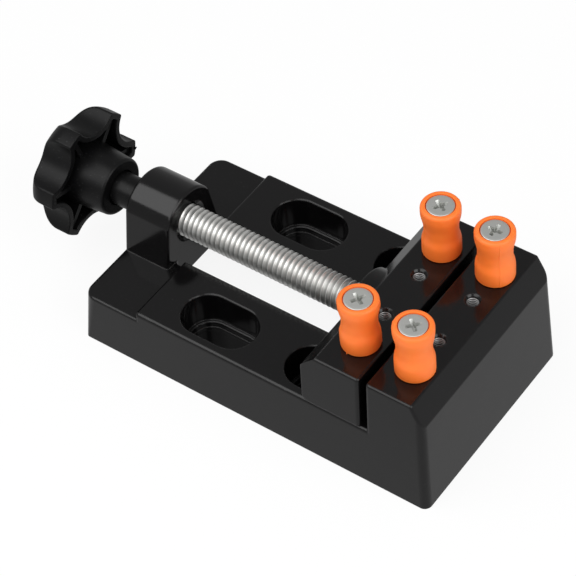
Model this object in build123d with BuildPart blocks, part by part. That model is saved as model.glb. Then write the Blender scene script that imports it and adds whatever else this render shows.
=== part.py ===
"""A small bench vise: a cast base with a fixed jaw, a sliding jaw, a lead screw and four pegs.

Frame, in millimetres: x = 0 is the gripping face of the fixed jaw and +X runs towards that jaw,
away from the knob. y = 0 is the centreline, and z = 0 is the underside that the vise stands on.
"""

import os
from math import atan2, cos, degrees, radians, sin, tan

from build123d import *

# Fits, gaps, and the overrun that carries every cut past the face it opens
running_gap = 0.05
sliding_gap = 0.1
fitting_gap = 0.02
seat_gap = 0.1
overrun = 1.0

# Base casting. The rails and the shelf lie so far below the axis of the screw.
base_width = 64.0
base_reach_left = 95.0
base_reach_right = 18.8
draft_angle = 2.6
left_corner_radius = 1.2
left_corner_flare_angle = 10.0
right_corner_radius = 2.2
rail_drop = 6.4
shelf_drop = 9.1
shelf_length = 18.5
shelf_edge_radius = 0.8
rail_edge_radius = 1.0
jaw_height = 37.8
jaw_corner_radius = 1.0
jaw_edge_radius = 0.7
end_bevel_drop = 7.0
end_bevel_run = 3.6

# Slot between the rails, and the wider channel under it
slot_width = 17.6
slot_corner_radius = 1.5
slot_end_wall = 3.0
channel_width = 25.2
channel_height = 9.8
channel_corner_radius = 1.5
channel_undercut = 7.4

# Stadium pockets in the rails
pocket_length = 23.0
pocket_slot_wall = 5.0
pocket_side_wall = 4.0
pocket_pitch = 34.5
pocket_to_jaw = 19.8
pocket_depth = 9.8
pocket_draft = 2.0
pocket_ledge = 1.0
pocket_floor_drop = 1.9
pocket_rim_radius = 0.6
pocket_ledge_radius = 0.4

# Screw boss on the shelf
screw_height = 26.4
boss_radius = 10.4
boss_shoulder_angle = 24.0
boss_root_width = 24.6
boss_root_depth = 2.0
boss_length = 15.0
boss_edge_radius = 0.9
boss_mouth_bevel = 1.3
boss_mouth_angle = 45.0

# Sliding jaw
jaw_opening = 2.05
jaw_length = 18.0
back_bevel = 4.5
back_bevel_radius = 1.2
back_foot_radius = 1.8
lug_radius = 11.1
lug_reach = 0.8
lug_edge_radius = 0.6
tongue_side_gap = 0.15
tongue_setback = 5.0
tongue_length = 13.0
tongue_corner_radius = 1.0

# Lead screw: a 3/8 inch thread with sixteen turns to the inch
thread_radius = 4.75
thread_pitch = 25.4 / 16
thread_depth_share = 0.6134
thread_crest_share = 0.125
thread_flank_angle = 30.0
journal_radius = 3.5
journal_length = 13.0
journal_bevel = 0.6
groove_inset = 7.0
groove_width = 2.2
groove_depth = 1.0
shank_radius = 3.4

# Neck sleeve, and the pocket in the boss that it enters
sleeve_radius = 4.9
sleeve_edge_radius = 0.4
sleeve_entry = 0.6
sleeve_pocket_depth = 3.0
sleeve_pocket_gap = 0.4
neck_length = 9.3

# Knob
hub_length = 9.5
hub_end_radius = 8.5
hub_root_radius = 9.3
hub_edge_radius = 1.0
hub_recess_depth = 1.0
hub_recess_gap = 0.5
knob_thickness = 10.3
knob_tip_radius = 18.5
knob_valley_radius = 13.6
scallop_radius = 8.2
lobe_count = 6
lobe_turn = 46.0
lobe_corner_radius = 0.8
hollow_corner_radius = 0.5
knob_shoulder_radius = 6.0
knob_rim_radius = 0.3
knob_wall = 1.8
knob_web = 2.6
rib_width = 1.5
rib_setback = 1.0

# Hexagonal insert that ties the knob to the screw
insert_across_flats = 9.0
insert_length = 9.0

# Guide plate under the rails
plate_length = 24.0
plate_thickness = 4.0
plate_side_gap = 0.3
plate_reach = 1.7
plate_corner_radius = 2.0

# Screws and spring washers that hold the guide plate to the tongue
plate_screw_inset = 2.4
plate_screw_grip = 8.0
plate_hole_depth = 9.0
pan_head_radius = 3.9
pan_head_height = 2.6
pan_head_edge_radius = 0.9
washer_radius = 3.4
washer_thickness = 1.0
washer_split = 0.8

# Pins that trap the groove of the screw
pin_radius = 1.0
pin_over_plate = 2.0
pin_reach = 5.2
pin_bevel = 0.2

# Pegs on the jaws
fixed_row_setback = 7.8
moving_row_setback = 6.7
inner_hole_offset = 8.0
peg_inset = 13.1
peg_height = 16.7
peg_head_radius = 5.45
peg_waist_radius = 4.7
peg_body_radius = 5.35
peg_head_length = 2.8
peg_upper_taper = 3.7
peg_waist_length = 3.3
peg_lower_taper = 2.2
peg_bend_radius = 5.0
peg_rim_radius = 0.9
peg_foot_radius = 0.5
peg_recess_gap = 0.25

# Four millimetre screws, and the holes tapped for them
screw_radius = 2.0
screw_clearance = 0.15
tapped_radius = 1.65
tapped_depth = 14.0
tapped_bevel = 0.55
thread_core_gap = 0.03
sunk_head_radius = 3.8
sunk_head_rim = 0.35
peg_screw_sink = 0.2
peg_screw_grip = 8.5
cross_length = 4.4
cross_width = 0.95
cross_depth = 1.4
cross_turns = {"moving_near": 60, "moving_far": 59, "fixed_near": 48, "fixed_far": 0}

# Places that follow from the sizes above
lean = tan(radians(draft_angle))
rail_height = screw_height - rail_drop
shelf_height = screw_height - shelf_drop
shelf_left = shelf_height * lean - base_reach_left
step_x = shelf_left + shelf_length
boss_right = shelf_left + boss_length
jaw_root = base_reach_right / 2
pocket_near_edge = slot_width / 2 + pocket_slot_wall
pocket_far_edge = base_width / 2 - pocket_side_wall
pocket_width = pocket_far_edge - pocket_near_edge
pocket_offset = (pocket_near_edge + pocket_far_edge) / 2
jaw_front = -jaw_opening
jaw_back = jaw_front - jaw_length
jaw_foot = rail_height + sliding_gap
lug_face = jaw_back - lug_reach
tongue_front = jaw_front - tongue_setback
tongue_back = tongue_front - tongue_length
plate_top = channel_height - 2 * sliding_gap
plate_bottom = plate_top - plate_thickness
washer_bottom = plate_bottom - washer_thickness
plate_screw_places = (tongue_back + plate_screw_inset, tongue_front - plate_screw_inset)
thread_left = shelf_left + sleeve_entry
thread_right = lug_face - seat_gap
groove_x = lug_face + groove_inset
pin_offset = journal_radius - groove_depth + pin_radius + running_gap
pin_top = screw_height + pin_reach
pin_foot = plate_top + pin_over_plate
hub_left = shelf_left - neck_length
rim_x = hub_left - hub_length
insert_right = hub_left - hub_recess_depth
fixed_row_x = fixed_row_setback
moving_row_x = jaw_front - moving_row_setback
peg_offset = base_width / 2 - peg_inset
hole_offsets = (-peg_offset, -inner_hole_offset, inner_hole_offset, peg_offset)
thread_core_radius = tapped_radius - thread_core_gap
screw_hole_radius = screw_radius + screw_clearance

os.makedirs("parts", exist_ok=True)


def outline_at(height):
    """The outline of the vise at a height. The walls lean in, and the left corners get rounder."""
    inset = height * lean
    with BuildSketch(Plane.XY.offset(height)) as outline:
        with Locations(((base_reach_right - base_reach_left) / 2, 0)):
            Rectangle(base_reach_right + base_reach_left - 2 * inset, base_width - 2 * inset)
        fillet(vertices().sort_by(Axis.X)[:2], left_corner_radius + height * tan(radians(left_corner_flare_angle)))
        fillet(vertices().sort_by(Axis.X)[-2:], right_corner_radius)
    return outline.sketch


def drafted_block(height):
    """The vise's outline drawn up from the bench to a height."""
    with BuildPart() as block:
        loft([outline_at(0), outline_at(height)], ruled=True)
    return block.part


def cut_square(block, left, right):
    """What is left of a block when it is cut off square at both ends."""
    with BuildPart() as rest:
        add(block)
        split(bisect_by=Plane.YZ.offset(left), keep=Keep.TOP)
        split(bisect_by=Plane.YZ.offset(right), keep=Keep.BOTTOM)
    return rest.part


def top_edges(block):
    """The edges round the top of a block, without the one at its right."""
    return block.edges().group_by(Axis.Z)[-1].sort_by(Axis.X)[:-1]


def outer_edges(end):
    """The edges at both sides of an upright end face."""
    across = end.sort_by(Axis.Y)
    return [across[0], across[-1]]


def across_screw(x):
    """The plane square to the screw at a place along it, with its origin on the screw's axis."""
    return Plane(origin=(x, 0, screw_height), x_dir=(0, 1, 0), z_dir=(1, 0, 0))


def upright_plane(x, y, z):
    """The plane that stands along the vise, with its own x along +X and its own y along +Z."""
    return Plane(origin=(x, y, z), x_dir=(1, 0, 0), z_dir=(0, -1, 0))


def arch(width, foot, radius, shoulder_angle):
    """An arch about the screw axis that stands on a foot of the given width."""
    shoulder_y = radius * cos(radians(shoulder_angle))
    shoulder_z = screw_height + radius * sin(radians(shoulder_angle))
    with BuildLine() as outline:
        Polyline((-shoulder_y, shoulder_z), (-width / 2, foot), (width / 2, foot), (shoulder_y, shoulder_z))
        ThreePointArc((shoulder_y, shoulder_z), (0, screw_height + radius), (-shoulder_y, shoulder_z))
    make_face(outline.edges())


def cut_tapped_holes(row_x):
    """Four tapped holes in the top of a jaw, each with a small bevel at its mouth."""
    with BuildPart() as cutter:
        with BuildSketch(upright_plane(0, 0, jaw_height)):
            Polygon(
                (0, 0),
                (tapped_radius + tapped_bevel, 0),
                (tapped_radius, -tapped_bevel),
                (tapped_radius, -tapped_depth),
                (0, -tapped_depth),
                align=None,
            )
        revolve(axis=Axis.Z)
    with Locations(*[(row_x, y, 0) for y in hole_offsets]):
        add(cutter.part, mode=Mode.SUBTRACT)


def cut_cross(face, turn):
    """Sink a cross recess into a screw head from the plane of its face."""
    with BuildSketch(face) as cross:
        with Locations(Location((0, 0), turn)):
            Rectangle(cross_length, cross_width)
            Rectangle(cross_width, cross_length)
    extrude(cross.sketch, amount=-cross_depth, mode=Mode.SUBTRACT)


# Fixed jaw, with its sloping end, as a block that joins the base below
with BuildPart() as fixed_jaw:
    add(cut_square(drafted_block(jaw_height), 0, base_reach_right))
    bevel_foot = jaw_height - end_bevel_drop
    bevel_x = base_reach_right - bevel_foot * lean
    extra_run = overrun * end_bevel_run / end_bevel_drop
    slope_top = (bevel_x - end_bevel_run - extra_run, jaw_height + overrun)
    slope_foot = (bevel_x + extra_run, bevel_foot - overrun)
    with BuildSketch(Plane.XZ):
        Polygon(slope_top, slope_foot, (slope_foot[0], slope_top[1]), align=None)
    extrude(amount=base_width, both=True, mode=Mode.SUBTRACT)
    fillet(outer_edges(edges().group_by(Axis.X)[0]), jaw_corner_radius)
    fillet(edges().filter_by_position(Axis.Z, rail_height, jaw_height), jaw_edge_radius)

# Rails, as a block that joins the shelf below and ends inside the fixed jaw
with BuildPart() as rails:
    add(cut_square(drafted_block(rail_height), step_x, jaw_root))
    fillet(outer_edges(edges().group_by(Axis.X)[0]), rail_edge_radius)
    fillet(top_edges(rails.part), rail_edge_radius)

# Boss that carries the screw, rooted in the shelf
with BuildPart() as boss:
    with BuildSketch(Plane.YZ.offset(shelf_left)):
        arch(boss_root_width, shelf_height - boss_root_depth, boss_radius, boss_shoulder_angle)
    extrude(amount=boss_length)
    outlines = edges() - edges().filter_by(Axis.X)
    fillet(outlines.filter_by_position(Axis.Z, shelf_height, jaw_height), boss_edge_radius)

# Cutter for a pocket: its walls, the smaller floor under its ledge, and a slab above its mouth.
# The mouth and the ledge get their rounding here, in the corners where these three meet.
with BuildPart() as pocket:
    with BuildSketch(Plane.XY.offset(rail_height)):
        SlotOverall(pocket_length, pocket_width)
    extrude(amount=-pocket_depth, taper=pocket_draft)
    floor_inset = 2 * (pocket_ledge + pocket_depth * tan(radians(pocket_draft)))
    with BuildSketch(Plane.XY.offset(rail_height - pocket_depth)):
        SlotOverall(pocket_length - floor_inset, pocket_width - floor_inset)
    extrude(amount=-pocket_floor_drop)
    with BuildSketch(Plane.XY.offset(rail_height)):
        SlotOverall(pocket_length + 2 * overrun, pocket_width + 2 * overrun)
    extrude(amount=overrun)
    ledge, mouth = faces().filter_by(Axis.Z).sort_by(Axis.Z)[1:3]
    fillet(ledge.inner_wires()[0].edges(), pocket_ledge_radius)
    fillet(mouth.inner_wires()[0].edges(), pocket_rim_radius)

# Base casting: the shelf, joined by the rails, the fixed jaw and the boss
with BuildPart() as base_casting:
    add(cut_square(drafted_block(shelf_height), -base_reach_left, jaw_root))
    fillet(top_edges(base_casting.part), shelf_edge_radius)
    add(rails.part)
    add(fixed_jaw.part)
    add(boss.part)

    # Slot for the tongue of the sliding jaw, and the channel for its guide plate
    slot_length = -slot_end_wall - boss_right
    slot_centre = (boss_right - slot_end_wall) / 2
    with BuildSketch(Plane.XY.offset(-overrun)):
        with Locations((slot_centre, 0)):
            RectangleRounded(slot_length, slot_width, slot_corner_radius)
    extrude(amount=rail_height + 2 * overrun, mode=Mode.SUBTRACT)
    with BuildSketch(Plane.XY.offset(-overrun)):
        with Locations((slot_centre - channel_undercut / 2, 0)):
            RectangleRounded(slot_length + channel_undercut, channel_width, channel_corner_radius)
    extrude(amount=channel_height + overrun, mode=Mode.SUBTRACT)

    # Two pockets in each rail
    pocket_rows = (-pocket_to_jaw, -pocket_to_jaw - pocket_pitch)
    with Locations(*[(x, y, 0) for x in pocket_rows for y in (-pocket_offset, pocket_offset)]):
        add(pocket.part, mode=Mode.SUBTRACT)

    # Screw bore, its bevelled mouth, and the pocket that the neck sleeve enters
    with BuildSketch(across_screw(boss_right)):
        Circle(thread_radius + running_gap)
    extrude(amount=-boss_length, mode=Mode.SUBTRACT)
    with BuildSketch(across_screw(boss_right)):
        Circle(thread_radius + running_gap + boss_mouth_bevel)
    extrude(amount=-boss_mouth_bevel, taper=boss_mouth_angle, mode=Mode.SUBTRACT)
    with BuildSketch(across_screw(shelf_left)):
        Circle(sleeve_radius + sleeve_pocket_gap)
    extrude(amount=sleeve_pocket_depth, mode=Mode.SUBTRACT)

    cut_tapped_holes(fixed_row_x)

base_casting.part.label = "base_casting"
export_step(base_casting.part, "parts/base_casting.step")

# Lug on the back of the sliding jaw, round the end of the screw
with BuildPart() as lug:
    with BuildSketch(Plane.YZ.offset(lug_face)):
        arch(2 * lug_radius, jaw_foot, lug_radius, 0)
    extrude(amount=lug_reach + jaw_length / 2)
    outlines = (edges() - edges().filter_by(Axis.X)).group_by(Axis.X)[0]
    fillet(outlines.sort_by(Axis.Z)[1:], lug_edge_radius)

# Sliding jaw: its block, flush with the drafted sides of the base, the lug, and the tongue
with BuildPart() as sliding_jaw:
    foot_y = base_width / 2 - jaw_foot * lean
    top_y = base_width / 2 - jaw_height * lean
    with BuildSketch(Plane.YZ.offset(jaw_back)):
        Polygon((-foot_y, jaw_foot), (foot_y, jaw_foot), (top_y, jaw_height), (-top_y, jaw_height), align=None)
    extrude(amount=jaw_length)
    chamfer(edges().group_by(Axis.Z)[-1].sort_by(Axis.X)[0], back_bevel)
    fillet(edges().filter_by(Axis.Y).group_by(Axis.X)[0].sort_by(Axis.Z)[-1], back_bevel_radius)
    fillet(edges().filter_by(Axis.Y).group_by(Axis.X)[0].sort_by(Axis.Z)[0], back_foot_radius)
    fillet(outer_edges(edges().group_by(Axis.X)[-1]), jaw_corner_radius)
    fillet(edges().group_by(Axis.Z)[-1], jaw_edge_radius)
    add(lug.part)
    with BuildSketch(Plane.XY.offset(plate_top)):
        with Locations(((tongue_back + tongue_front) / 2, 0)):
            RectangleRounded(tongue_length, slot_width - 2 * tongue_side_gap, tongue_corner_radius)
    extrude(amount=jaw_foot + overrun - plate_top)

    # Blind bore for the end of the screw, and the holes for its pins and for the plate screws
    with BuildSketch(upright_plane(lug_face, 0, screw_height)):
        Rectangle(journal_length + seat_gap, journal_radius + running_gap, align=Align.MIN)
    revolve(axis=Axis((0, 0, screw_height), (1, 0, 0)), mode=Mode.SUBTRACT)
    with BuildSketch(Plane.XY.offset(plate_top)):
        with Locations((groove_x, -pin_offset), (groove_x, pin_offset)):
            Circle(pin_radius + fitting_gap)
    extrude(amount=pin_top - plate_top, mode=Mode.SUBTRACT)
    with BuildSketch(Plane.XY.offset(plate_top)):
        with Locations(*[(x, 0) for x in plate_screw_places]):
            Circle(tapped_radius)
    extrude(amount=plate_hole_depth, mode=Mode.SUBTRACT)

    cut_tapped_holes(moving_row_x)

sliding_jaw.part.label = "sliding_jaw"
export_step(sliding_jaw.part, "parts/sliding_jaw.step")

# Guide plate, screwed to the foot of the tongue and running under the rails
with BuildPart() as guide_plate:
    with BuildSketch(Plane.XY.offset(plate_bottom)):
        with Locations((tongue_front + plate_reach - plate_length / 2, 0)):
            RectangleRounded(plate_length, channel_width - 2 * plate_side_gap, plate_corner_radius)
        with Locations(*[(x, 0) for x in plate_screw_places]):
            Circle(screw_hole_radius, mode=Mode.SUBTRACT)
    extrude(amount=plate_thickness)

guide_plate.part.label = "guide_plate"
export_step(guide_plate.part, "parts/guide_plate.step")


def plate_screw(x):
    """A pan head screw, driven up through its washer and the plate into the tongue."""
    head_face = washer_bottom - pan_head_height
    with BuildPart() as screw:
        with BuildSketch(Plane.XY.offset(head_face)):
            with Locations((x, 0)):
                Circle(pan_head_radius)
        extrude(amount=pan_head_height)
        fillet(edges().group_by(Axis.Z)[0], pan_head_edge_radius)
        with BuildSketch(Plane.XY.offset(washer_bottom)):
            with Locations((x, 0)):
                Circle(screw_radius)
        extrude(amount=washer_thickness + plate_thickness)
        with BuildSketch(Plane.XY.offset(plate_top)):
            with Locations((x, 0)):
                Circle(thread_core_radius)
        extrude(amount=plate_screw_grip)
        cut_cross(Plane(origin=(x, 0, head_face), z_dir=(0, 0, -1)), 0)
    return screw


def spring_washer(x):
    """A split washer between the head of a plate screw and the plate."""
    with BuildPart() as washer:
        with BuildSketch(Plane.XY.offset(washer_bottom)):
            with Locations((x, 0)):
                Circle(washer_radius)
                Circle(screw_hole_radius, mode=Mode.SUBTRACT)
            with Locations((x, washer_radius)):
                Rectangle(washer_split, 2 * washer_radius, mode=Mode.SUBTRACT)
        extrude(amount=washer_thickness)
    return washer


for side, x in zip(("back", "front"), plate_screw_places):
    screw = plate_screw(x)
    screw.part.label = f"plate_screw_{side}"
    export_step(screw.part, f"parts/plate_screw_{side}.step")
    washer = spring_washer(x)
    washer.part.label = f"spring_washer_{side}"
    export_step(washer.part, f"parts/spring_washer_{side}.step")


def retaining_pin(y):
    """An upright pin in the sliding jaw that stands in the groove of the screw."""
    with BuildPart() as pin:
        with BuildSketch(Plane.XY.offset(pin_foot)):
            with Locations((groove_x, y)):
                Circle(pin_radius)
        extrude(amount=pin_top - fitting_gap - pin_foot)
        chamfer(edges().filter_by(GeomType.CIRCLE), pin_bevel)
    return pin


for side, y in (("near", -pin_offset), ("far", pin_offset)):
    pin = retaining_pin(y)
    pin.part.label = f"retaining_pin_{side}"
    export_step(pin.part, f"parts/retaining_pin_{side}.step")

# Lead screw: a plain shank in the knob, the thread, and the grooved journal in the sliding jaw.
# The thread is a row of rings with the crest, the flanks, the pitch and the depth of the real one.
thread_depth = thread_depth_share * thread_pitch
thread_crest = thread_crest_share * thread_pitch
thread_flank = thread_depth * tan(radians(thread_flank_angle))
thread_root = thread_radius - thread_depth
ring_count = int((thread_right - thread_left) / thread_pitch)
first_ring_x = (thread_left + thread_right - (ring_count - 1) * thread_pitch) / 2
ring_places = [first_ring_x + ring * thread_pitch for ring in range(ring_count)]
journal_end = lug_face + journal_length
ring_points = []
for ring_x in ring_places:
    ring_points.append((ring_x - thread_crest / 2 - thread_flank, thread_root))
    ring_points.append((ring_x - thread_crest / 2, thread_radius))
    ring_points.append((ring_x + thread_crest / 2, thread_radius))
    ring_points.append((ring_x + thread_crest / 2 + thread_flank, thread_root))
with BuildPart() as lead_screw:
    with BuildSketch(upright_plane(0, 0, screw_height)):
        with BuildLine():
            Polyline(
                (insert_right - insert_length, 0),
                (insert_right - insert_length, shank_radius),
                (thread_left, shank_radius),
                (thread_left, thread_root),
                *ring_points,
                (thread_right, thread_root),
                (thread_right, journal_radius),
                (groove_x - groove_width / 2, journal_radius),
                (groove_x - groove_width / 2, journal_radius - groove_depth),
                (groove_x + groove_width / 2, journal_radius - groove_depth),
                (groove_x + groove_width / 2, journal_radius),
                (journal_end - journal_bevel, journal_radius),
                (journal_end, journal_radius - journal_bevel),
                (journal_end, 0),
                close=True,
            )
        make_face()
    revolve(axis=Axis((0, 0, screw_height), (1, 0, 0)))

lead_screw.part.label = "lead_screw"
export_step(lead_screw.part, "parts/lead_screw.step")

# Neck sleeve, on the shank between the knob and the thread
with BuildPart() as neck_sleeve:
    with BuildSketch(across_screw(insert_right)):
        Circle(sleeve_radius)
        Circle(shank_radius + fitting_gap, mode=Mode.SUBTRACT)
    extrude(amount=thread_left - insert_right)
    fillet(edges().filter_by(GeomType.CIRCLE).group_by(Axis.X)[-1].sort_by(SortBy.RADIUS)[-1], sleeve_edge_radius)

neck_sleeve.part.label = "neck_sleeve"
export_step(neck_sleeve.part, "parts/neck_sleeve.step")

# Insert, a hexagon that the knob is moulded round
with BuildPart() as knob_insert:
    with BuildSketch(across_screw(insert_right)):
        RegularPolygon(insert_across_flats / 2, side_count=6, major_radius=False)
        Circle(shank_radius + fitting_gap, mode=Mode.SUBTRACT)
    extrude(amount=-insert_length)

knob_insert.part.label = "knob_insert"
export_step(knob_insert.part, "parts/knob_insert.step")


# The centres of the scallops between the lobes
lobe_step = 360 / lobe_count
scallop_offset = knob_valley_radius + scallop_radius


def scalloped_drum(radius, depth, shoulder_radius, bite_radius, corner_radius):
    """A drum behind the rim of the knob, with a rounded shoulder and a scallop between each two lobes."""
    with BuildPart() as drum:
        with BuildSketch(across_screw(rim_x)):
            Circle(radius)
        extrude(amount=-depth)
        fillet(edges().group_by(Axis.X)[0], shoulder_radius)
        with BuildSketch(across_screw(rim_x)):
            with PolarLocations(scallop_offset, lobe_count, start_angle=lobe_turn + lobe_step / 2):
                Circle(bite_radius)
        extrude(amount=-depth, mode=Mode.SUBTRACT)
        fillet(edges().filter_by(Axis.X), corner_radius)
    return drum.part


# Hollow behind the rim of the knob, crossed by a rib behind each lobe
hollow_depth = knob_thickness - knob_web
with BuildPart() as knob_hollow:
    hollow_radius = knob_tip_radius - knob_wall
    hollow_shoulder = knob_shoulder_radius - knob_wall
    hollow_bite = scallop_radius + knob_wall
    add(scalloped_drum(hollow_radius, hollow_depth, hollow_shoulder, hollow_bite, hollow_corner_radius))
    with BuildSketch(across_screw(rim_x - rib_setback)):
        with PolarLocations(knob_tip_radius / 2, lobe_count, start_angle=lobe_turn):
            Rectangle(knob_tip_radius, rib_width)
    extrude(amount=-hollow_depth, mode=Mode.SUBTRACT)

# Knob: a scalloped cup, open towards the jaws, with a long hub
with BuildPart() as star_knob:
    add(scalloped_drum(knob_tip_radius, knob_thickness, knob_shoulder_radius, scallop_radius, lobe_corner_radius))
    add(knob_hollow.part, mode=Mode.SUBTRACT)
    fillet(edges().group_by(Axis.X)[-1], knob_rim_radius)
    with BuildSketch(across_screw(hub_left)):
        Circle(hub_end_radius)
    hub_taper = degrees(atan2(hub_root_radius - hub_end_radius, hub_length))
    extrude(amount=knob_web - knob_thickness - hub_length, taper=-hub_taper)
    fillet(edges().group_by(Axis.X)[-1], hub_edge_radius)
    with BuildSketch(across_screw(hub_left)):
        Circle(sleeve_radius + hub_recess_gap)
    extrude(amount=-hub_recess_depth, mode=Mode.SUBTRACT)
    with BuildSketch(across_screw(insert_right)):
        RegularPolygon(insert_across_flats / 2 + fitting_gap, side_count=6, major_radius=False)
    extrude(amount=-insert_length - fitting_gap, mode=Mode.SUBTRACT)

star_knob.part.label = "star_knob"
export_step(star_knob.part, "parts/star_knob.step")

# Pegs, each a waisted sleeve with a countersink, and the screws that hold them
peg_recess_radius = sunk_head_radius + peg_recess_gap
peg_recess_depth = peg_screw_sink + sunk_head_rim - peg_recess_gap + fitting_gap


def peg(x, y):
    """A soft peg that stands on top of a jaw."""
    head_foot = peg_height - peg_head_length
    waist_top = head_foot - peg_upper_taper
    waist_foot = waist_top - peg_waist_length
    body_top = waist_foot - peg_lower_taper
    with BuildPart() as sleeve:
        with BuildSketch(upright_plane(x, y, jaw_height)):
            with BuildLine():
                FilletPolyline(
                    (screw_hole_radius, 0),
                    (peg_body_radius, 0),
                    (peg_body_radius, body_top),
                    (peg_waist_radius, waist_foot),
                    (peg_waist_radius, waist_top),
                    (peg_head_radius, head_foot),
                    (peg_head_radius, peg_height),
                    (peg_recess_radius, peg_height),
                    radius=[peg_foot_radius, *[peg_bend_radius] * 4, peg_rim_radius],
                )
                Polyline(
                    (peg_recess_radius, peg_height),
                    (peg_recess_radius, peg_height - peg_recess_depth),
                    (screw_hole_radius, peg_height - peg_recess_depth - peg_recess_radius + screw_hole_radius),
                    (screw_hole_radius, 0),
                )
            make_face()
        revolve(axis=Axis((x, y, 0), (0, 0, 1)))
    return sleeve


def peg_screw(x, y, cross_turn):
    """A countersunk screw down through a peg into the jaw."""
    head_top = peg_height - peg_screw_sink
    cone_top = head_top - sunk_head_rim
    with BuildPart() as screw:
        with BuildSketch(upright_plane(x, y, jaw_height)):
            with BuildLine():
                Polyline(
                    (0, -peg_screw_grip),
                    (thread_core_radius, -peg_screw_grip),
                    (thread_core_radius, 0),
                    (screw_radius, 0),
                    (screw_radius, cone_top - sunk_head_radius + screw_radius),
                    (sunk_head_radius, cone_top),
                    (sunk_head_radius, head_top),
                    (0, head_top),
                    close=True,
                )
            make_face()
        revolve(axis=Axis((x, y, 0), (0, 0, 1)))
        cut_cross(Plane(origin=(x, y, jaw_height + head_top), z_dir=(0, 0, 1)), cross_turn)
    return screw


for jaw, row_x in (("moving", moving_row_x), ("fixed", fixed_row_x)):
    for side, y in (("near", -peg_offset), ("far", peg_offset)):
        sleeve = peg(row_x, y)
        sleeve.part.label = f"peg_{jaw}_{side}"
        export_step(sleeve.part, f"parts/peg_{jaw}_{side}.step")
        screw = peg_screw(row_x, y, cross_turns[f"{jaw}_{side}"])
        screw.part.label = f"peg_screw_{jaw}_{side}"
        export_step(screw.part, f"parts/peg_screw_{jaw}_{side}.step")
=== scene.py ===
# %% [markdown]
# # A small bench vise
#
# The vise is two black castings, a bright screw, a moulded knob and four orange pegs. The engineering
# model gives every piece its size and its place. This file dresses that model: it swaps the plain
# lead screw, pegs and peg screws for finer ones, adds the threads of the empty holes and a nib of
# flash on the knob, and gives each surface a finish of its own.

from math import cos, pi, radians, sin, tan

import bmesh
import bpy
from mathutils import Matrix, Vector


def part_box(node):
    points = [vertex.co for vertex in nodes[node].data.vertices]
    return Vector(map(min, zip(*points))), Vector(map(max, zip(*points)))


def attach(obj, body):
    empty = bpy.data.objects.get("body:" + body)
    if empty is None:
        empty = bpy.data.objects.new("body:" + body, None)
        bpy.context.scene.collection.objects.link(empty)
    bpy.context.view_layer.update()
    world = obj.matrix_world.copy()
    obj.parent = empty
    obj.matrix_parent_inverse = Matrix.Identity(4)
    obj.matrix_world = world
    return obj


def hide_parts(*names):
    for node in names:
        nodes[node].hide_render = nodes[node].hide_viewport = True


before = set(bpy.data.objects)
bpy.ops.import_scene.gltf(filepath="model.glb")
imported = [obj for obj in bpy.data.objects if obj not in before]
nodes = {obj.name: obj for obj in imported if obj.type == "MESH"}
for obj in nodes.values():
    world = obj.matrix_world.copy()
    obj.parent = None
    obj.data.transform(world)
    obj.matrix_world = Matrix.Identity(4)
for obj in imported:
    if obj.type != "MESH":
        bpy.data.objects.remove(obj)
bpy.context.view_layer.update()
mm = 0.001

# %% [markdown]
# ## Writing finishes
#
# A finish is a tree of shader nodes. Long trees are easier to read as sums, so a small class wraps a
# socket and turns Python's arithmetic into Math nodes. A second class holds one material and adds any
# other node: its settings come first, because they decide which sockets the node has.


# %% A socket that does arithmetic
class Wire:
    """An output socket. Sums, products and the like add the Math nodes that work them out."""

    def __init__(self, finish, socket):
        self.finish = finish
        self.socket = socket

    def __add__(self, other):
        return self.finish.maths("ADD", self, other)

    def __radd__(self, other):
        return self.finish.maths("ADD", other, self)

    def __sub__(self, other):
        return self.finish.maths("SUBTRACT", self, other)

    def __rsub__(self, other):
        return self.finish.maths("SUBTRACT", other, self)

    def __mul__(self, other):
        return self.finish.maths("MULTIPLY", self, other)

    def __rmul__(self, other):
        return self.finish.maths("MULTIPLY", other, self)

    def __truediv__(self, other):
        return self.finish.maths("DIVIDE", self, other)

    def __rtruediv__(self, other):
        return self.finish.maths("DIVIDE", other, self)

    def __pow__(self, other):
        return self.finish.maths("POWER", self, other)

    def __rpow__(self, other):
        return self.finish.maths("POWER", other, self)


# %% Find a socket, and fill a colour ramp
def find_socket(sockets, key):
    """A socket by its number, or the socket in use that has the name."""
    if isinstance(key, int):
        return sockets[key]
    return next(socket for socket in sockets if socket.name == key and socket.enabled)


def set_stops(ramp, stops):
    """Replace the stops of a colour ramp."""
    while len(ramp.elements) < len(stops):
        ramp.elements.new(1.0)
    for element, (position, colour) in zip(ramp.elements, stops):
        element.position = position
        element.color = colour


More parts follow.
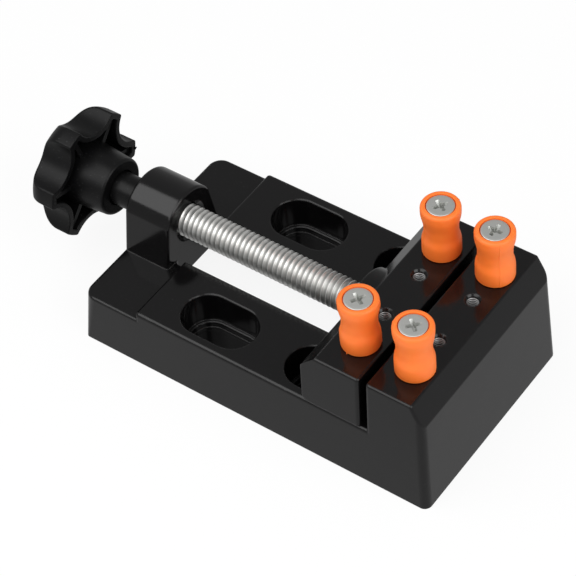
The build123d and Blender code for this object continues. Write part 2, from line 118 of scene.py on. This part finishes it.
# %% A finish and its nodes
class Finish:
    """One material, with helpers that add and join its nodes."""

    def __init__(self, name):
        self.material = bpy.data.materials.new(name)
        self.material.use_nodes = True
        self.tree = self.material.node_tree
        self.shader = self.tree.nodes["Principled BSDF"]
        self.place = self.node("ShaderNodeTexCoord", out="Object")

    def join(self, value, socket):
        """Give an input socket a value, or a link if the value is a Wire."""
        if isinstance(value, Wire):
            self.tree.links.new(value.socket, socket)
        else:
            socket.default_value = value

    def node(self, kind, settings=None, inputs=None, out=0):
        """Add a node, set it up, feed it, and return one of its outputs."""
        made = self.tree.nodes.new(kind)
        for key, value in (settings or {}).items():
            if key == "stops":
                set_stops(made.color_ramp, value)
            else:
                setattr(made, key, value)
        for key, value in (inputs or {}).items():
            self.join(value, find_socket(made.inputs, key))
        return Wire(self, find_socket(made.outputs, out))

    def maths(self, operation, first, second):
        """Work out one sum or product of two values."""
        return self.node("ShaderNodeMath", {"operation": operation}, {0: first, 1: second})

    def clamp(self, value, low=0.0, high=1.0):
        """Keep a value between two limits."""
        return self.node("ShaderNodeClamp", None, {"Value": value, "Min": low, "Max": high})

    def coordinate(self, axis):
        """One coordinate of the point on the surface, in metres."""
        return self.node("ShaderNodeSeparateXYZ", None, {"Vector": self.place}, axis)

    def noise(self, size, detail=2.0, roughness=0.5, stretch=(1, 1, 1)):
        """Noise whose spots are about the given size in metres."""
        inputs = {"Vector": self.place, "Scale": stretch}
        settled = self.node("ShaderNodeMapping", None, inputs, "Vector")
        inputs = {"Vector": settled, "Scale": 1 / size, "Detail": detail, "Roughness": roughness}
        return self.node("ShaderNodeTexNoise", None, inputs)

    def ramp(self, value, *stops):
        """Map a value through grey stops, given as (position, level)."""
        shades = [(position, (level, level, level, 1)) for position, level in stops]
        return self.node("ShaderNodeValToRGB", {"stops": shades}, {"Fac": value})

    def blend(self, share, first, second):
        """Mix two colours."""
        inputs = {"Factor": share, "A": first, "B": second}
        return self.node("ShaderNodeMix", {"data_type": "RGBA"}, inputs, "Result")

    def bump(self, height, distance, strength=1.0, normal=None):
        """Raise the surface by a height between 0 and 1, over a distance in metres."""
        inputs = {"Height": height, "Distance": distance, "Strength": strength}
        if normal:
            inputs["Normal"] = normal
        return self.node("ShaderNodeBump", None, inputs)

    def set(self, **sockets):
        """Feed the shader. An underscore in a name stands for a space."""
        for key, value in sockets.items():
            self.join(value, self.shader.inputs[key.replace("_", " ")])


# %% [markdown]
# ## Black paint on the castings
#
# The castings are aluminium under a thick gloss paint. Such paint is never flat: it follows the slow
# waves of the casting, has the fine ripple called orange peel, and carries dust. It also wears thin on
# the edges, and there the colour is painted lighter, partly for that wear and partly as a painted
# highlight on the rounded edges. A painted map of it would need each casting unwrapped, so a Bevel
# node finds the edges instead, by comparing the true surface with a rounded one.

# %% Paint the castings
edge_reach = 0.5 * mm
edge_gain = 6.0
black = (0.0028, 0.0026, 0.0028, 1)
# Lighter black for the edges: thin paint, and a painted highlight.
worn_and_highlit_black = (0.055, 0.052, 0.05, 1)
dust_grey = (0.06, 0.06, 0.06, 1)


def paint_casting(name):
    """Gloss paint that is wavy and dusty, with edges painted lighter for wear and as a painted highlight.
    """
    paint = Finish(name)
    true_normal = paint.node("ShaderNodeNewGeometry", out="Normal")
    round_normal = paint.node("ShaderNodeBevel", {"samples": 4}, {"Radius": edge_reach})
    normals = {0: true_normal, 1: round_normal}
    facing = paint.node("ShaderNodeVectorMath", {"operation": "DOT_PRODUCT"}, normals, "Value")
    edge = paint.clamp((1.0 - facing) * edge_gain)
    scuffs = paint.noise(1.2 * mm, 4.0, 0.65)
    # Edges painted lighter: partly wear, partly a painted highlight.
    wear_and_highlight = edge * paint.ramp(scuffs, (0.42, 0.0), (0.62, 1.0))
    dust = paint.ramp(paint.noise(0.35 * mm, 1.0), (0.70, 0.0), (0.78, 1.0))
    smears = paint.noise(14 * mm, 3.0, 0.6)
    waves = paint.noise(9 * mm, 1.0)
    peel = paint.noise(1.1 * mm, 2.0, 0.5)
    paint.set(
        Base_Color=paint.blend(dust * 0.25, paint.blend(wear_and_highlight * 0.7, black, worn_and_highlit_black), dust_grey),
        Roughness=0.09 + smears * 0.07 + dust * 0.12 + wear_and_highlight * 0.15,
        Normal=paint.bump(waves * 0.8 + peel * 0.06, 0.08 * mm, 0.4, round_normal),
        Specular_IOR_Level=0.38,
    )
    return paint.material


black_paint = paint_casting("black_paint")
print("finish:", black_paint.name)

# %% [markdown]
# ## Black plastic of the knob and the neck
#
# The knob and the neck are moulded in black plastic, which is duller than the paint and a little
# uneven in its sheen. The mould leaves a fine grain, and dust shows on it as pale specks. Both pieces
# share one recipe and differ in roughness alone, so a function takes the roughness.

# %% Mould the black plastic
moulded_black = (0.0035, 0.0035, 0.0037, 1)
speck_grey = (0.09, 0.09, 0.09, 1)


def mould_plastic(name, roughness):
    """Satin black plastic with a fine grain and a few specks."""
    plastic = Finish(name)
    grain = plastic.noise(0.25 * mm, 3.0, 0.6)
    sheen = plastic.noise(5 * mm, 2.0, 0.5)
    specks = plastic.ramp(plastic.noise(0.5 * mm, 1.0), (0.70, 0.0), (0.76, 1.0))
    plastic.set(
        Base_Color=plastic.blend(specks * 0.3, moulded_black, speck_grey),
        Roughness=roughness + sheen * 0.12 + grain * 0.06,
        Normal=plastic.bump(grain * 0.2 + sheen * 0.8, 0.08 * mm, 0.4),
        Specular_IOR_Level=0.19,
    )
    return plastic.material


knob_plastic = mould_plastic("knob_plastic", 0.28)
sleeve_plastic = mould_plastic("sleeve_plastic", 0.25)
print("finishes:", knob_plastic.name, sleeve_plastic.name)

# %% [markdown]
# ## Plated metal
#
# The screws are steel with a thin coat of zinc, which clouds as it ages and keeps the fine streaks of
# the tool. Shade is painted darker at the root of the thread and in the cross recesses, where less
# light reaches. It could be painted on by hand, but both places follow from a distance, so the shader
# measures it: from the axis of the lead screw, or down from the tops of the heads.

# %% Plate a piece with zinc
# Colour of the painted shade in the thread roots and cross recesses.
painted_shade_colour = (0.05, 0.048, 0.045, 1)
cloud_share = 0.82


def plate_zinc(name, base, roughness, shade_by=None):
    """Metal in a base colour. The given function works out where shade is painted, from 0 to 1."""
    zinc = Finish(name)
    cloud = zinc.noise(2.5 * mm, 3.0, 0.6)
    streaks = zinc.noise(0.5 * mm, 3.0, 0.6, stretch=(4, 1, 1))
    colour = zinc.blend(cloud, base, tuple(cloud_share * c for c in base[:3]) + (1,))
    rough = roughness + cloud * 0.12 + streaks * 0.1
    if shade_by:
        # Painted shade: the colour darkens where the given function says shade falls.
        painted_shade = shade_by(zinc)
        colour = zinc.blend(painted_shade, colour, painted_shade_colour)
        rough = rough + painted_shade * 0.2
    zinc.set(
        Base_Color=colour,
        Metallic=1.0,
        Roughness=rough,
        Normal=zinc.bump(streaks, 0.03 * mm, 0.35),
    )
    return zinc.material


# %% Find the painted shade by measuring
screw_axis_height = 26.4 * mm
thread_shade_radius = 4.4 * mm
thread_shade_reach = 0.6 * mm
recess_shade_height = 54.24 * mm
recess_shade_reach = 0.9 * mm


def thread_shade(finish):
    """Painted shade near the root of the lead screw's thread, found by the distance from its axis."""
    side = finish.coordinate("Y")
    rise = finish.coordinate("Z") - screw_axis_height
    radius = (side * side + rise * rise) ** 0.5
    return finish.clamp((thread_shade_radius - radius) / thread_shade_reach) * 0.5


def recess_shade(finish):
    """Painted shade in the cross recesses, found by the depth below the tops of the heads."""
    depth = recess_shade_height - finish.coordinate("Z")
    return finish.clamp(depth / recess_shade_reach) * 0.3


# %% Make the metals
screw_zinc = plate_zinc("screw_zinc", (0.88, 0.88, 0.86, 1), 0.3, thread_shade)
head_zinc = plate_zinc("head_zinc", (0.74, 0.75, 0.72, 1), 0.36, recess_shade)
plain_zinc = plate_zinc("plain_zinc", (0.64, 0.65, 0.62, 1), 0.35)
plate_steel = plate_zinc("plate_steel", (0.42, 0.42, 0.43, 1), 0.38)
insert_brass = plate_zinc("insert_brass", (0.72, 0.5, 0.2, 1), 0.35)
bare_metal = plate_zinc("bare_metal", (0.4, 0.4, 0.4, 1), 0.42)
metals = (screw_zinc, head_zinc, plain_zinc, plate_steel, insert_brass, bare_metal)
print("metals:", [metal.name for metal in metals])

# %% [markdown]
# ## Orange plastic of the pegs
#
# The pegs are a softer plastic in a strong orange. Light goes a little way into it and comes out
# redder, which a flat colour can't show, so the shader has a small share of light that scatters below
# the surface. The colour clouds slightly, as dyed plastic does.

# %% Mould the orange plastic
bright_orange = (1.0, 0.215, 0.029, 1)
deep_orange = (1.0, 0.185, 0.022, 1)
scatter_share = 0.15
scatter_reach = (2.0 * mm, 0.8 * mm, 0.3 * mm)


def mould_orange(name):
    """Soft orange plastic, slightly clouded."""
    orange = Finish(name)
    cloud = orange.noise(4 * mm, 2.0, 0.5)
    grain = orange.noise(0.3 * mm, 2.0, 0.5)
    orange.set(
        Base_Color=orange.blend(cloud, bright_orange, deep_orange),
        Roughness=0.42 + grain * 0.08 + cloud * 0.06,
        Normal=orange.bump(cloud * 0.8 + grain * 0.1, 0.1 * mm, 0.4),
        Subsurface_Weight=scatter_share,
        Subsurface_Radius=scatter_reach,
    )
    return orange.material


peg_orange = mould_orange("peg_orange")
print("finish:", peg_orange.name)

# %% [markdown]
# ## Each piece gets its finish
#
# Every node of the engineering model arrives with a plain material. A table by name gives it the
# finish of the real piece. The pegs are found by how their names start, and the screws and washers
# that are left are plain zinc.

# %% Give each engineering node its finish
finish_of = {
    "base_casting": black_paint,
    "sliding_jaw": black_paint,
    "guide_plate": plate_steel,
    "retaining_pin_near": plate_steel,
    "retaining_pin_far": plate_steel,
    "lead_screw": screw_zinc,
    "neck_sleeve": sleeve_plastic,
    "star_knob": knob_plastic,
    "knob_insert": insert_brass,
}
for name, node in nodes.items():
    finish = finish_of.get(name, plain_zinc)
    if name.startswith("peg_") and not name.startswith("peg_screw"):
        finish = peg_orange
    for material_slot in node.material_slots:
        material_slot.material = finish
print("finishes:", len(bpy.data.materials))

# %% [markdown]
# ## Shapes from a line
#
# Most of the pieces that need a finer shape are round: the screw, the pegs and the heads in them. On a
# lathe they would be turned, and in Blender the same is done by drawing half of the section as a line
# and spinning it round an axis. The corners of the line are rounded before the spin, so that every
# edge of the piece catches a highlight. The engineering model's own meshes stay as they are.

# %% Draw a line, round its corners and spin it
merge_distance = 0.002 * mm
full_turn = 2 * pi
up_axis = Vector((0, 0, 1))
screw_axis = Vector((1, 0, 0))


def draw_line(shape, points):
    """Draw a line through points, and return its vertices in order."""
    corners = [shape.verts.new(point) for point in points]
    for pair in zip(corners, corners[1:]):
        shape.edges.new(pair)
    return corners


def round_corners(shape, corners, reach, steps):
    """Round corners of a line, each over the given reach."""
    bmesh.ops.bevel(
        shape, geom=corners, offset=reach, segments=steps, profile=0.5, affect="VERTICES", material=-1
    )


def spin_line(shape, centre, axis, steps):
    """Spin everything in a shape right round an axis, and close the seam and the poles."""
    line = shape.verts[:] + shape.edges[:]
    bmesh.ops.spin(shape, geom=line, cent=centre, axis=axis, angle=full_turn, steps=steps, use_merge=True)
    bmesh.ops.remove_doubles(shape, verts=shape.verts, dist=merge_distance)
    bmesh.ops.recalc_face_normals(shape, faces=shape.faces)


# %% Pick out parts of a shape
def open_edges(shape):
    """The edges that have a face on one side only."""
    return [edge for edge in shape.edges if edge.is_boundary]


def verts_among(items):
    """The vertices in what an operator says that it made."""
    return [item for item in items if isinstance(item, bmesh.types.BMVert)]


def edges_among(items):
    """The edges in what an operator says that it made."""
    return [item for item in items if isinstance(item, bmesh.types.BMEdge)]


# %% Turn a shape into a piece of the vise
sharp_angle = radians(40)


def make_piece(name, shape, finish, body, replaced=None):
    """Put a shape in the scene with its finish, on a body, in place of a node if one is named."""
    left_open = len(open_edges(shape))
    mesh = bpy.data.meshes.new(name)
    shape.to_mesh(mesh)
    shape.free()
    mesh.materials.append(finish)
    mesh.shade_smooth()
    mesh.set_sharp_from_angle(angle=sharp_angle)
    piece = bpy.data.objects.new(name, mesh)
    bpy.context.scene.collection.objects.link(piece)
    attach(piece, body)
    if replaced:
        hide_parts(replaced)
    print(name, "faces:", len(mesh.polygons), "open edges:", left_open)


# %% [markdown]
# ## Lead screw
#
# The bright rod is one continuous right-hand thread with rounded crests. A row of rings would look the
# same at a glance, but the slant of a real thread shows as soon as the knob turns. One pitch of the
# section is drawn as a line, and the spin moves it along the rod by one pitch in a turn. That turn is
# then repeated along the rod, which is far quicker than winding them all.

# %% Measure the thread
inch = 25.4 * mm
turns_per_inch = 16
thread_pitch = inch / turns_per_inch
thread_radius = 4.75 * mm
thread_depth_share = 0.6134
crest_share = 0.125
flank_angle = radians(30)
root_rounding = 0.16 * mm
crest_rounding = 0.07 * mm
thread_start = -93.61 * mm
thread_end = -20.95 * mm

thread_depth = thread_depth_share * thread_pitch
thread_root = thread_radius - thread_depth
crest_width = crest_share * thread_pitch
flank_run = thread_depth * tan(flank_angle)
root_run = (thread_pitch - crest_width) / 2 - flank_run
print("pitch:", round(thread_pitch / mm, 4), "depth:", round(thread_depth / mm, 4))

# %% Draw one pitch of the thread
screw_line = Vector((0, 0, screw_axis_height))
drawn_from = thread_start - thread_pitch
thread_section = (
    (0, thread_root),
    (root_run, thread_root),
    (root_run + flank_run, thread_radius),
    (root_run + flank_run + crest_width, thread_radius),
    (thread_pitch - root_run, thread_root),
    (thread_pitch, thread_root),
)
screw = bmesh.new()
section = draw_line(screw, [screw_line + Vector((drawn_from + x, 0, r)) for x, r in thread_section])
round_corners(screw, [section[1], section[4]], root_rounding, 2)
round_corners(screw, section[2:4], crest_rounding, 2)
print("points in one pitch:", len(screw.verts))

# %% Wind one turn of the thread
thread_facets = 40
bmesh.ops.spin(
    screw,
    geom=screw.verts[:] + screw.edges[:],
    cent=screw_line,
    axis=screw_axis,
    dvec=screw_axis * thread_pitch / thread_facets,
    angle=full_turn,
    steps=thread_facets,
)
one_turn = screw.verts[:] + screw.edges[:] + screw.faces[:]
print("faces in one turn:", len(screw.faces))

# %% Repeat the turn along the rod, and cut both ends square
cut_distance = merge_distance / 20
whole_turns = int((thread_end - thread_start) / thread_pitch) + 1
for turn in range(1, whole_turns + 2):
    copied = bmesh.ops.duplicate(screw, geom=one_turn)["geom"]
    bmesh.ops.translate(screw, verts=verts_among(copied), vec=screw_axis * turn * thread_pitch)
bmesh.ops.remove_doubles(screw, verts=screw.verts, dist=merge_distance)
for end, outwards in ((thread_start, -screw_axis), (thread_end, screw_axis)):
    bmesh.ops.bisect_plane(
        screw,
        geom=screw.verts[:] + screw.edges[:] + screw.faces[:],
        dist=cut_distance,
        plane_co=screw_axis * end,
        plane_no=outwards,
        clear_outer=True,
    )
print("turns:", whole_turns, "faces:", len(screw.faces))

# %% Draw the plain ends
shank_radius = 3.4 * mm
journal_radius = 3.5 * mm
groove_radius = 2.5 * mm
groove_start = -14.95 * mm
groove_end = -12.75 * mm
end_bevel = 0.6 * mm
plain_facets = 48
screw_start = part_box("lead_screw")[0][0]
screw_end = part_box("lead_screw")[1][0]
shank_section = ((screw_start, 0), (screw_start, shank_radius), (thread_start, shank_radius))
journal_section = (
    (thread_end, journal_radius),
    (groove_start, journal_radius),
    (groove_start, groove_radius),
    (groove_end, groove_radius),
    (groove_end, journal_radius),
    (screw_end - end_bevel, journal_radius),
    (screw_end, journal_radius - end_bevel),
    (screw_end, 0),
)
print("screw from", round(screw_start / mm, 2), "to", round(screw_end / mm, 2))

# %% Join the plain ends to the thread
for plain_section in (shank_section, journal_section):
    plain = bmesh.new()
    draw_line(plain, [screw_line + Vector((x, 0, r)) for x, r in plain_section])
    spin_line(plain, screw_line, screw_axis, plain_facets)
    spare = bpy.data.meshes.new("spare")
    plain.to_mesh(spare)
    plain.free()
    screw.from_mesh(spare)
    bpy.data.meshes.remove(spare)
for end in (thread_start, thread_end):
    rim = [edge for edge in open_edges(screw) if abs(edge.verts[0].co.x - end) < merge_distance]
    bmesh.ops.triangle_fill(screw, edges=rim, use_beauty=True, normal=screw_axis)
bmesh.ops.recalc_face_normals(screw, faces=screw.faces)
make_piece("lead_screw_thread", screw, screw_zinc, "screw", "lead_screw")

# %% [markdown]
# ## Pegs
#
# The pegs are soft orange plastic with a waist. Each was moulded in two halves, which leaves a fine
# seam down both sides, and one still has a sliver of flash at its foot. A peg is round all the same, so
# it is spun. The seam is then a column of the spun shape's edges, bevelled into a narrow strip and
# lifted a little.

# %% Measure a peg, from its foot up
peg_section = [(r * mm, z * mm) for r, z in (
    (2.15, 0.0),
    (5.35, 0.0),
    (5.35, 4.7),
    (4.7, 6.9),
    (4.7, 10.2),
    (5.45, 13.9),
    (5.45, 16.7),
    (4.05, 16.7),
    (4.05, 15.8),
    (3.47, 15.8),
    (2.15, 14.48),
    (2.15, 0.0),
)]
peg_roundings = (
    (slice(2, 6), 0.8 * mm, 5),
    (slice(6, 7), 0.9 * mm, 6),
    (slice(1, 2), 0.45 * mm, 3),
    (slice(7, 8), 0.12 * mm, 2),
)
peg_facets = 96
print("peg height:", round(max(z for r, z in peg_section) / mm, 2))


# %% Draw a peg
def draw_peg(centre):
    """The spun shape of a peg that stands on a point."""
    shape = bmesh.new()
    corners = draw_line(shape, [centre + Vector((r, 0, z)) for r, z in peg_section])
    for which, reach, steps in peg_roundings:
        round_corners(shape, corners[which], reach, steps)
    spin_line(shape, centre, up_axis, peg_facets)
    return shape


# %% Raise the seams of a peg
seam_half_width = 0.13 * mm
seam_lift = 0.11 * mm
seam_search = 0.065 * mm
seam_middle = 0.02 * mm
seam_inner_radius = 4.3 * mm


def off_axis(point, centre):
    """The part of a point's offset from an upright axis that is square to the axis."""
    return Vector((point.x - centre.x, point.y - centre.y, 0))


def raise_seams(shape, centre, turn):
    """Lift a fine seam down two opposite sides of a peg."""
    towards = Vector((cos(turn), sin(turn), 0))

    def beside(vert, width):
        arm = off_axis(vert.co, centre)
        return arm.length > seam_inner_radius and abs(arm.cross(towards).z) < width

    seam = [edge for edge in shape.edges if all(beside(vert, seam_search) for vert in edge.verts)]
    bmesh.ops.bevel(
        shape, geom=seam, offset=seam_half_width, segments=2, profile=0.5, affect="EDGES", material=-1
    )
    for vert in shape.verts:
        if beside(vert, seam_middle):
            vert.co += off_axis(vert.co, centre).normalized() * seam_lift


# %% Leave a sliver of flash at the foot of a peg
flash_turn = radians(-98)
flash_out = 5.38 * mm
flash_up = 0.72 * mm
flash_radii = (0.18 * mm, 0.04 * mm)
flash_length = 1.3 * mm
flash_sides = 7


def add_flash(shape, foot):
    """Stand a thin cone against the side of a peg."""
    place = foot + Vector((cos(flash_turn) * flash_out, sin(flash_turn) * flash_out, flash_up))
    bmesh.ops.create_cone(
        shape,
        cap_ends=True,
        segments=flash_sides,
        radius1=flash_radii[0],
        radius2=flash_radii[1],
        depth=flash_length,
        matrix=Matrix.Translation(place),
    )


# %% Stand the pegs on the jaws
peg_bodies = {"moving_near": "jaw", "moving_far": "jaw", "fixed_near": "base", "fixed_far": "base"}
seam_turns = {"moving_near": 30, "moving_far": 60, "fixed_near": 15, "fixed_far": -45}


def foot_of(name):
    """The point on the axis of an upright node at its lowest height."""
    low, high = (Vector(corner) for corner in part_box(name))
    return Vector(((low.x + high.x) / 2, (low.y + high.y) / 2, low.z))


for place, body in peg_bodies.items():
    foot = foot_of(f"peg_{place}")
    peg = draw_peg(foot)
    raise_seams(peg, foot, radians(seam_turns[place]))
    if place == "moving_near":
        add_flash(peg, foot)
    make_piece(f"peg_sleeve_{place}", peg, peg_orange, body, f"peg_{place}")

# %% [markdown]
# ## Screws in the pegs
#
# Each peg is held by a countersunk screw with a cross recess. The recess decides how the head reads
# from above, so it is modelled: the outline of a cross is drawn in the head, its corners are eased as
# the die leaves them, and a copy of it is pushed down and drawn in, because the recess tapers.

# %% Measure a screw, from the foot of its peg up
head_top = 16.5 * mm
screw_section = [(r * mm, z * mm) for r, z in (
    (0.0, -8.5),
    (1.62, -8.5),
    (1.62, 0.0),
    (2.0, 0.0),
    (2.0, 14.35),
    (3.8, 16.15),
    (3.8, 16.5),
    (3.0, 16.5),
)]
head_corner = slice(6, 7)
head_rounding = 0.18 * mm
screw_facets = 64
cross_half_width = 0.56 * mm
cross_reach = 2.15 * mm
inner_rounding = 0.3 * mm
tip_rounding = 0.2 * mm
recess_depth = 1.5 * mm
floor_share = 0.5
print("head width:", round(2 * max(r for r, z in screw_section) / mm, 2))


# %% Draw the outline of a cross
def draw_cross(shape, centre):
    """The closed outline of a cross round a point, with eased corners."""
    arm = (
        Vector((cross_reach, -cross_half_width, 0)),
        Vector((cross_reach, cross_half_width, 0)),
        Vector((cross_half_width, cross_half_width, 0)),
    )
    corners = []
    for quarter in range(4):
        turned = Matrix.Rotation(quarter * full_turn / 4, 3, "Z")
        corners += [centre + turned @ point for point in arm]
    drawn = draw_line(shape, corners)
    shape.edges.new((drawn[-1], drawn[0]))
    round_corners(shape, drawn[2::3], inner_rounding, 3)
    round_corners(shape, [vert for vert in drawn if vert.is_valid], tip_rounding, 2)


# %% Cut the cross recess of a screw
def cut_recess(shape, centre, turn):
    """Join a turned cross recess to the open middle of a screw head."""
    rim = open_edges(shape)
    draw_cross(shape, centre)
    outline = [edge for edge in shape.edges if edge.is_wire]
    outline_verts = list({vert for edge in outline for vert in edge.verts})
    bmesh.ops.rotate(shape, verts=outline_verts, cent=centre, matrix=Matrix.Rotation(turn, 3, "Z"))
    bmesh.ops.triangle_fill(shape, edges=rim + outline, use_beauty=True, normal=up_axis)
    grown = bmesh.ops.extrude_edge_only(shape, edges=outline)["geom"]
    to_centre = Matrix.Translation(-centre)
    shrink = (floor_share, floor_share, 1)
    bmesh.ops.scale(shape, verts=verts_among(grown), vec=shrink, space=to_centre)
    bmesh.ops.translate(shape, verts=verts_among(grown), vec=(0, 0, -recess_depth))
    bmesh.ops.triangle_fill(shape, edges=edges_among(grown), use_beauty=True, normal=up_axis)
    bmesh.ops.recalc_face_normals(shape, faces=shape.faces)


# %% Drive a screw into each peg
cross_turns = {"moving_near": 60, "moving_far": 59, "fixed_near": 48, "fixed_far": 0}
for place, body in peg_bodies.items():
    foot = foot_of(f"peg_{place}")
    peg_screw = bmesh.new()
    corners = draw_line(peg_screw, [foot + Vector((r, 0, z)) for r, z in screw_section])
    round_corners(peg_screw, corners[head_corner], head_rounding, 3)
    spin_line(peg_screw, foot, up_axis, screw_facets)
    cut_recess(peg_screw, foot + up_axis * head_top, radians(cross_turns[place]))
    replaced = f"peg_screw_{place}"
    make_piece(f"peg_screw_head_{place}", peg_screw, head_zinc, body, replaced)

# %% [markdown]
# ## Threads in the empty holes
#
# Four tapped holes stand empty, and light catches the thread just below the mouth of each. The thread
# is bare metal, because it is cut after the painting. A small triangle is wound down the wall of the
# hole. It has only nine turns, so it is wound in one go.

# %% Measure the thread of a hole
jaw_top = 37.8 * mm
mouth_depth = 0.75 * mm
hole_radius = 1.65 * mm
ridge_depth = 0.16 * mm
ridge_sink = 0.02 * mm
ridge_pitch = 0.7 * mm
ridge_half_share = 0.3
ridge_turns = 9
ridge_facets = 28
ridge_foot = jaw_top - mouth_depth - ridge_turns * ridge_pitch
ridge_section = (
    (hole_radius + ridge_sink, -ridge_half_share * ridge_pitch),
    (hole_radius - ridge_depth, 0.0),
    (hole_radius + ridge_sink, ridge_half_share * ridge_pitch),
)
hole_places = {
    "moving_near": (-8.75 * mm, -8.0 * mm),
    "moving_far": (-8.75 * mm, 8.0 * mm),
    "fixed_near": (7.8 * mm, -8.0 * mm),
    "fixed_far": (7.8 * mm, 8.0 * mm),
}
print("thread ends at height", round(ridge_foot / mm, 2))

# %% Wind a thread down each empty hole
for place, (hole_x, hole_y) in hole_places.items():
    foot = Vector((hole_x, hole_y, ridge_foot))
    ridge = bmesh.new()
    corners = draw_line(ridge, [foot + Vector((r, 0, z)) for r, z in ridge_section])
    ridge.edges.new((corners[-1], corners[0]))
    bmesh.ops.spin(
        ridge,
        geom=ridge.verts[:] + ridge.edges[:],
        cent=foot,
        axis=up_axis,
        dvec=up_axis * ridge_pitch / ridge_facets,
        angle=full_turn * ridge_turns,
        steps=ridge_facets * ridge_turns,
    )
    bmesh.ops.holes_fill(ridge, edges=open_edges(ridge), sides=4)
    bmesh.ops.recalc_face_normals(ridge, faces=ridge.faces)
    make_piece(f"hole_thread_{place}", ridge, bare_metal, peg_bodies[place])

# %% [markdown]
# ## Flash on the knob
#
# The knob was moulded in two halves, and a nib of flash stands where they met on one lobe. It breaks
# the outline of the knob, so a bump in the finish wouldn't do. A small cone is stood on the lobe.

# %% Leave a nib on the knob
nib_turn = radians(-14)
nib_x = -113.0 * mm
nib_out = 18.42 * mm
nib_radii = (0.45 * mm, 0.12 * mm)
nib_length = 0.9 * mm
nib_sides = 9
nib_place = screw_line + Vector((nib_x, cos(nib_turn) * nib_out, sin(nib_turn) * nib_out))
nib = bmesh.new()
bmesh.ops.create_cone(
    nib,
    cap_ends=True,
    segments=nib_sides,
    radius1=nib_radii[0],
    radius2=nib_radii[1],
    depth=nib_length,
    matrix=Matrix.Translation(nib_place) @ Matrix.Rotation(nib_turn - full_turn / 4, 4, "X"),
)
make_piece("knob_nib", nib, knob_plastic, "screw")

# %% [markdown]
# ## Floor
#
# The photograph has a pure white background. A white floor under lamps turns grey towards its edges,
# so the camera is shown a glow in place of most of it, which leaves only a hint of shadow. Glossy
# surfaces see a dimmer glow, or the black paint would turn pale.

# %% Lay the floor
floor_reach = 4.0
floor_mesh = bpy.data.meshes.new("floor")
floor_shape = bmesh.new()
bmesh.ops.create_grid(floor_shape, x_segments=1, y_segments=1, size=floor_reach)
floor_shape.to_mesh(floor_mesh)
floor_shape.free()
floor = bpy.data.objects.new("floor", floor_mesh)
bpy.context.scene.collection.objects.link(floor)
print("floor faces:", len(floor_mesh.polygons))

# %% Let the floor glow for the camera
glow_share = 0.9
glossy_glow = 0.48
white = Finish("white_floor")
white.set(Base_Color=(0.9, 0.9, 0.9, 1), Roughness=0.9, Specular_IOR_Level=0.0)
by_camera, by_gloss, by_glass = (
    white.node("ShaderNodeLightPath", out=f"Is {kind} Ray") for kind in ("Camera", "Glossy", "Transmission")
)
by_mirror = white.maths("MAXIMUM", by_gloss, by_glass)
glow_inputs = {"Color": (1, 1, 1, 1), "Strength": by_camera + by_mirror * glossy_glow}
glow = white.node("ShaderNodeEmission", None, glow_inputs)
painted = Wire(white, white.shader.outputs["BSDF"])
shown = {0: (by_camera + by_mirror) * glow_share, 1: painted, 2: glow}
mix = white.node("ShaderNodeMixShader", None, shown)
white.join(mix, white.tree.nodes["Material Output"].inputs["Surface"])
floor_mesh.materials.append(white.material)
print("finish:", white.material.name)

# %% [markdown]
# ## Light
#
# The light is soft and comes from above, and the end of the vise at the right is brighter. A dim white
# world fills the shadows. Over it hang two large lamps, because a small one would leave hard spots on
# gloss paint: one above the near side, and one beyond the end at the right.

# %% Fill the shadows
fill_strength = 0.36
world = bpy.data.worlds.new("studio")
world.use_nodes = True
background = world.node_tree.nodes["Background"]
background.inputs["Color"].default_value = (1, 1, 1, 1)
background.inputs["Strength"].default_value = fill_strength
bpy.context.scene.world = world
print("fill:", fill_strength)


# %% Hang the lamps
def soft_box(name, place, aim, size, power):
    """A rectangular lamp at a place, turned to shine at a point."""
    lamp = bpy.data.lights.new(name, "AREA")
    lamp.shape = "RECTANGLE"
    lamp.size = size[0]
    lamp.size_y = size[1]
    lamp.energy = power
    box = bpy.data.objects.new(name, lamp)
    box.location = place
    box.rotation_euler = (Vector(aim) - Vector(place)).to_track_quat("-Z", "Y").to_euler()
    bpy.context.scene.collection.objects.link(box)
    print(name, "watts:", power)


soft_box("key_light", place=(-0.25, -0.45, 0.8), aim=(-0.04, 0, 0.02), size=(1.1, 0.9), power=7.2)
soft_box("right_light", place=(0.75, -0.1, 0.6), aim=(0, 0, 0.02), size=(0.7, 0.7), power=4.8)

# %% [markdown]
# ## Camera
#
# The photograph was taken from above, over the near corner of the fixed jaw, with a long lens held
# slightly askew. The knob is at the far end. The angles, the distance and the focal length come from
# fitting the edges of the casting in it.

# %% Point the camera
view_azimuth = radians(39.98)
view_elevation = radians(48.0)
view_roll = radians(-6.05)
view_aim = Vector((-46.9, 0.0, 17.7)) * mm
view_distance = 651.6 * mm
level_back = Vector((sin(view_azimuth), -cos(view_azimuth), 0))
level_right = Vector((cos(view_azimuth), sin(view_azimuth), 0))
back = level_back * cos(view_elevation) + up_axis * sin(view_elevation)
level_up = back.cross(level_right)
right = level_right * cos(view_roll) + level_up * sin(view_roll)
up = level_up * cos(view_roll) - level_right * sin(view_roll)
print("camera looks from", [round(c, 3) for c in back])

# %% Place the camera
focal_pixels = 2394.1
photo_pixels = 576
sensor_width = 36.0
camera_data = bpy.data.cameras.new("camera")
camera_data.sensor_fit = "HORIZONTAL"
camera_data.sensor_width = sensor_width
camera_data.lens = sensor_width * focal_pixels / photo_pixels
camera = bpy.data.objects.new("camera", camera_data)
turned = Matrix((right, up, back)).transposed().to_4x4()
camera.matrix_world = Matrix.Translation(view_aim + back * view_distance) @ turned
bpy.context.scene.collection.objects.link(camera)
bpy.context.scene.camera = camera
bpy.context.scene.view_settings.view_transform = "Standard"
print("camera at", [round(c, 4) for c in camera.matrix_world.translation])
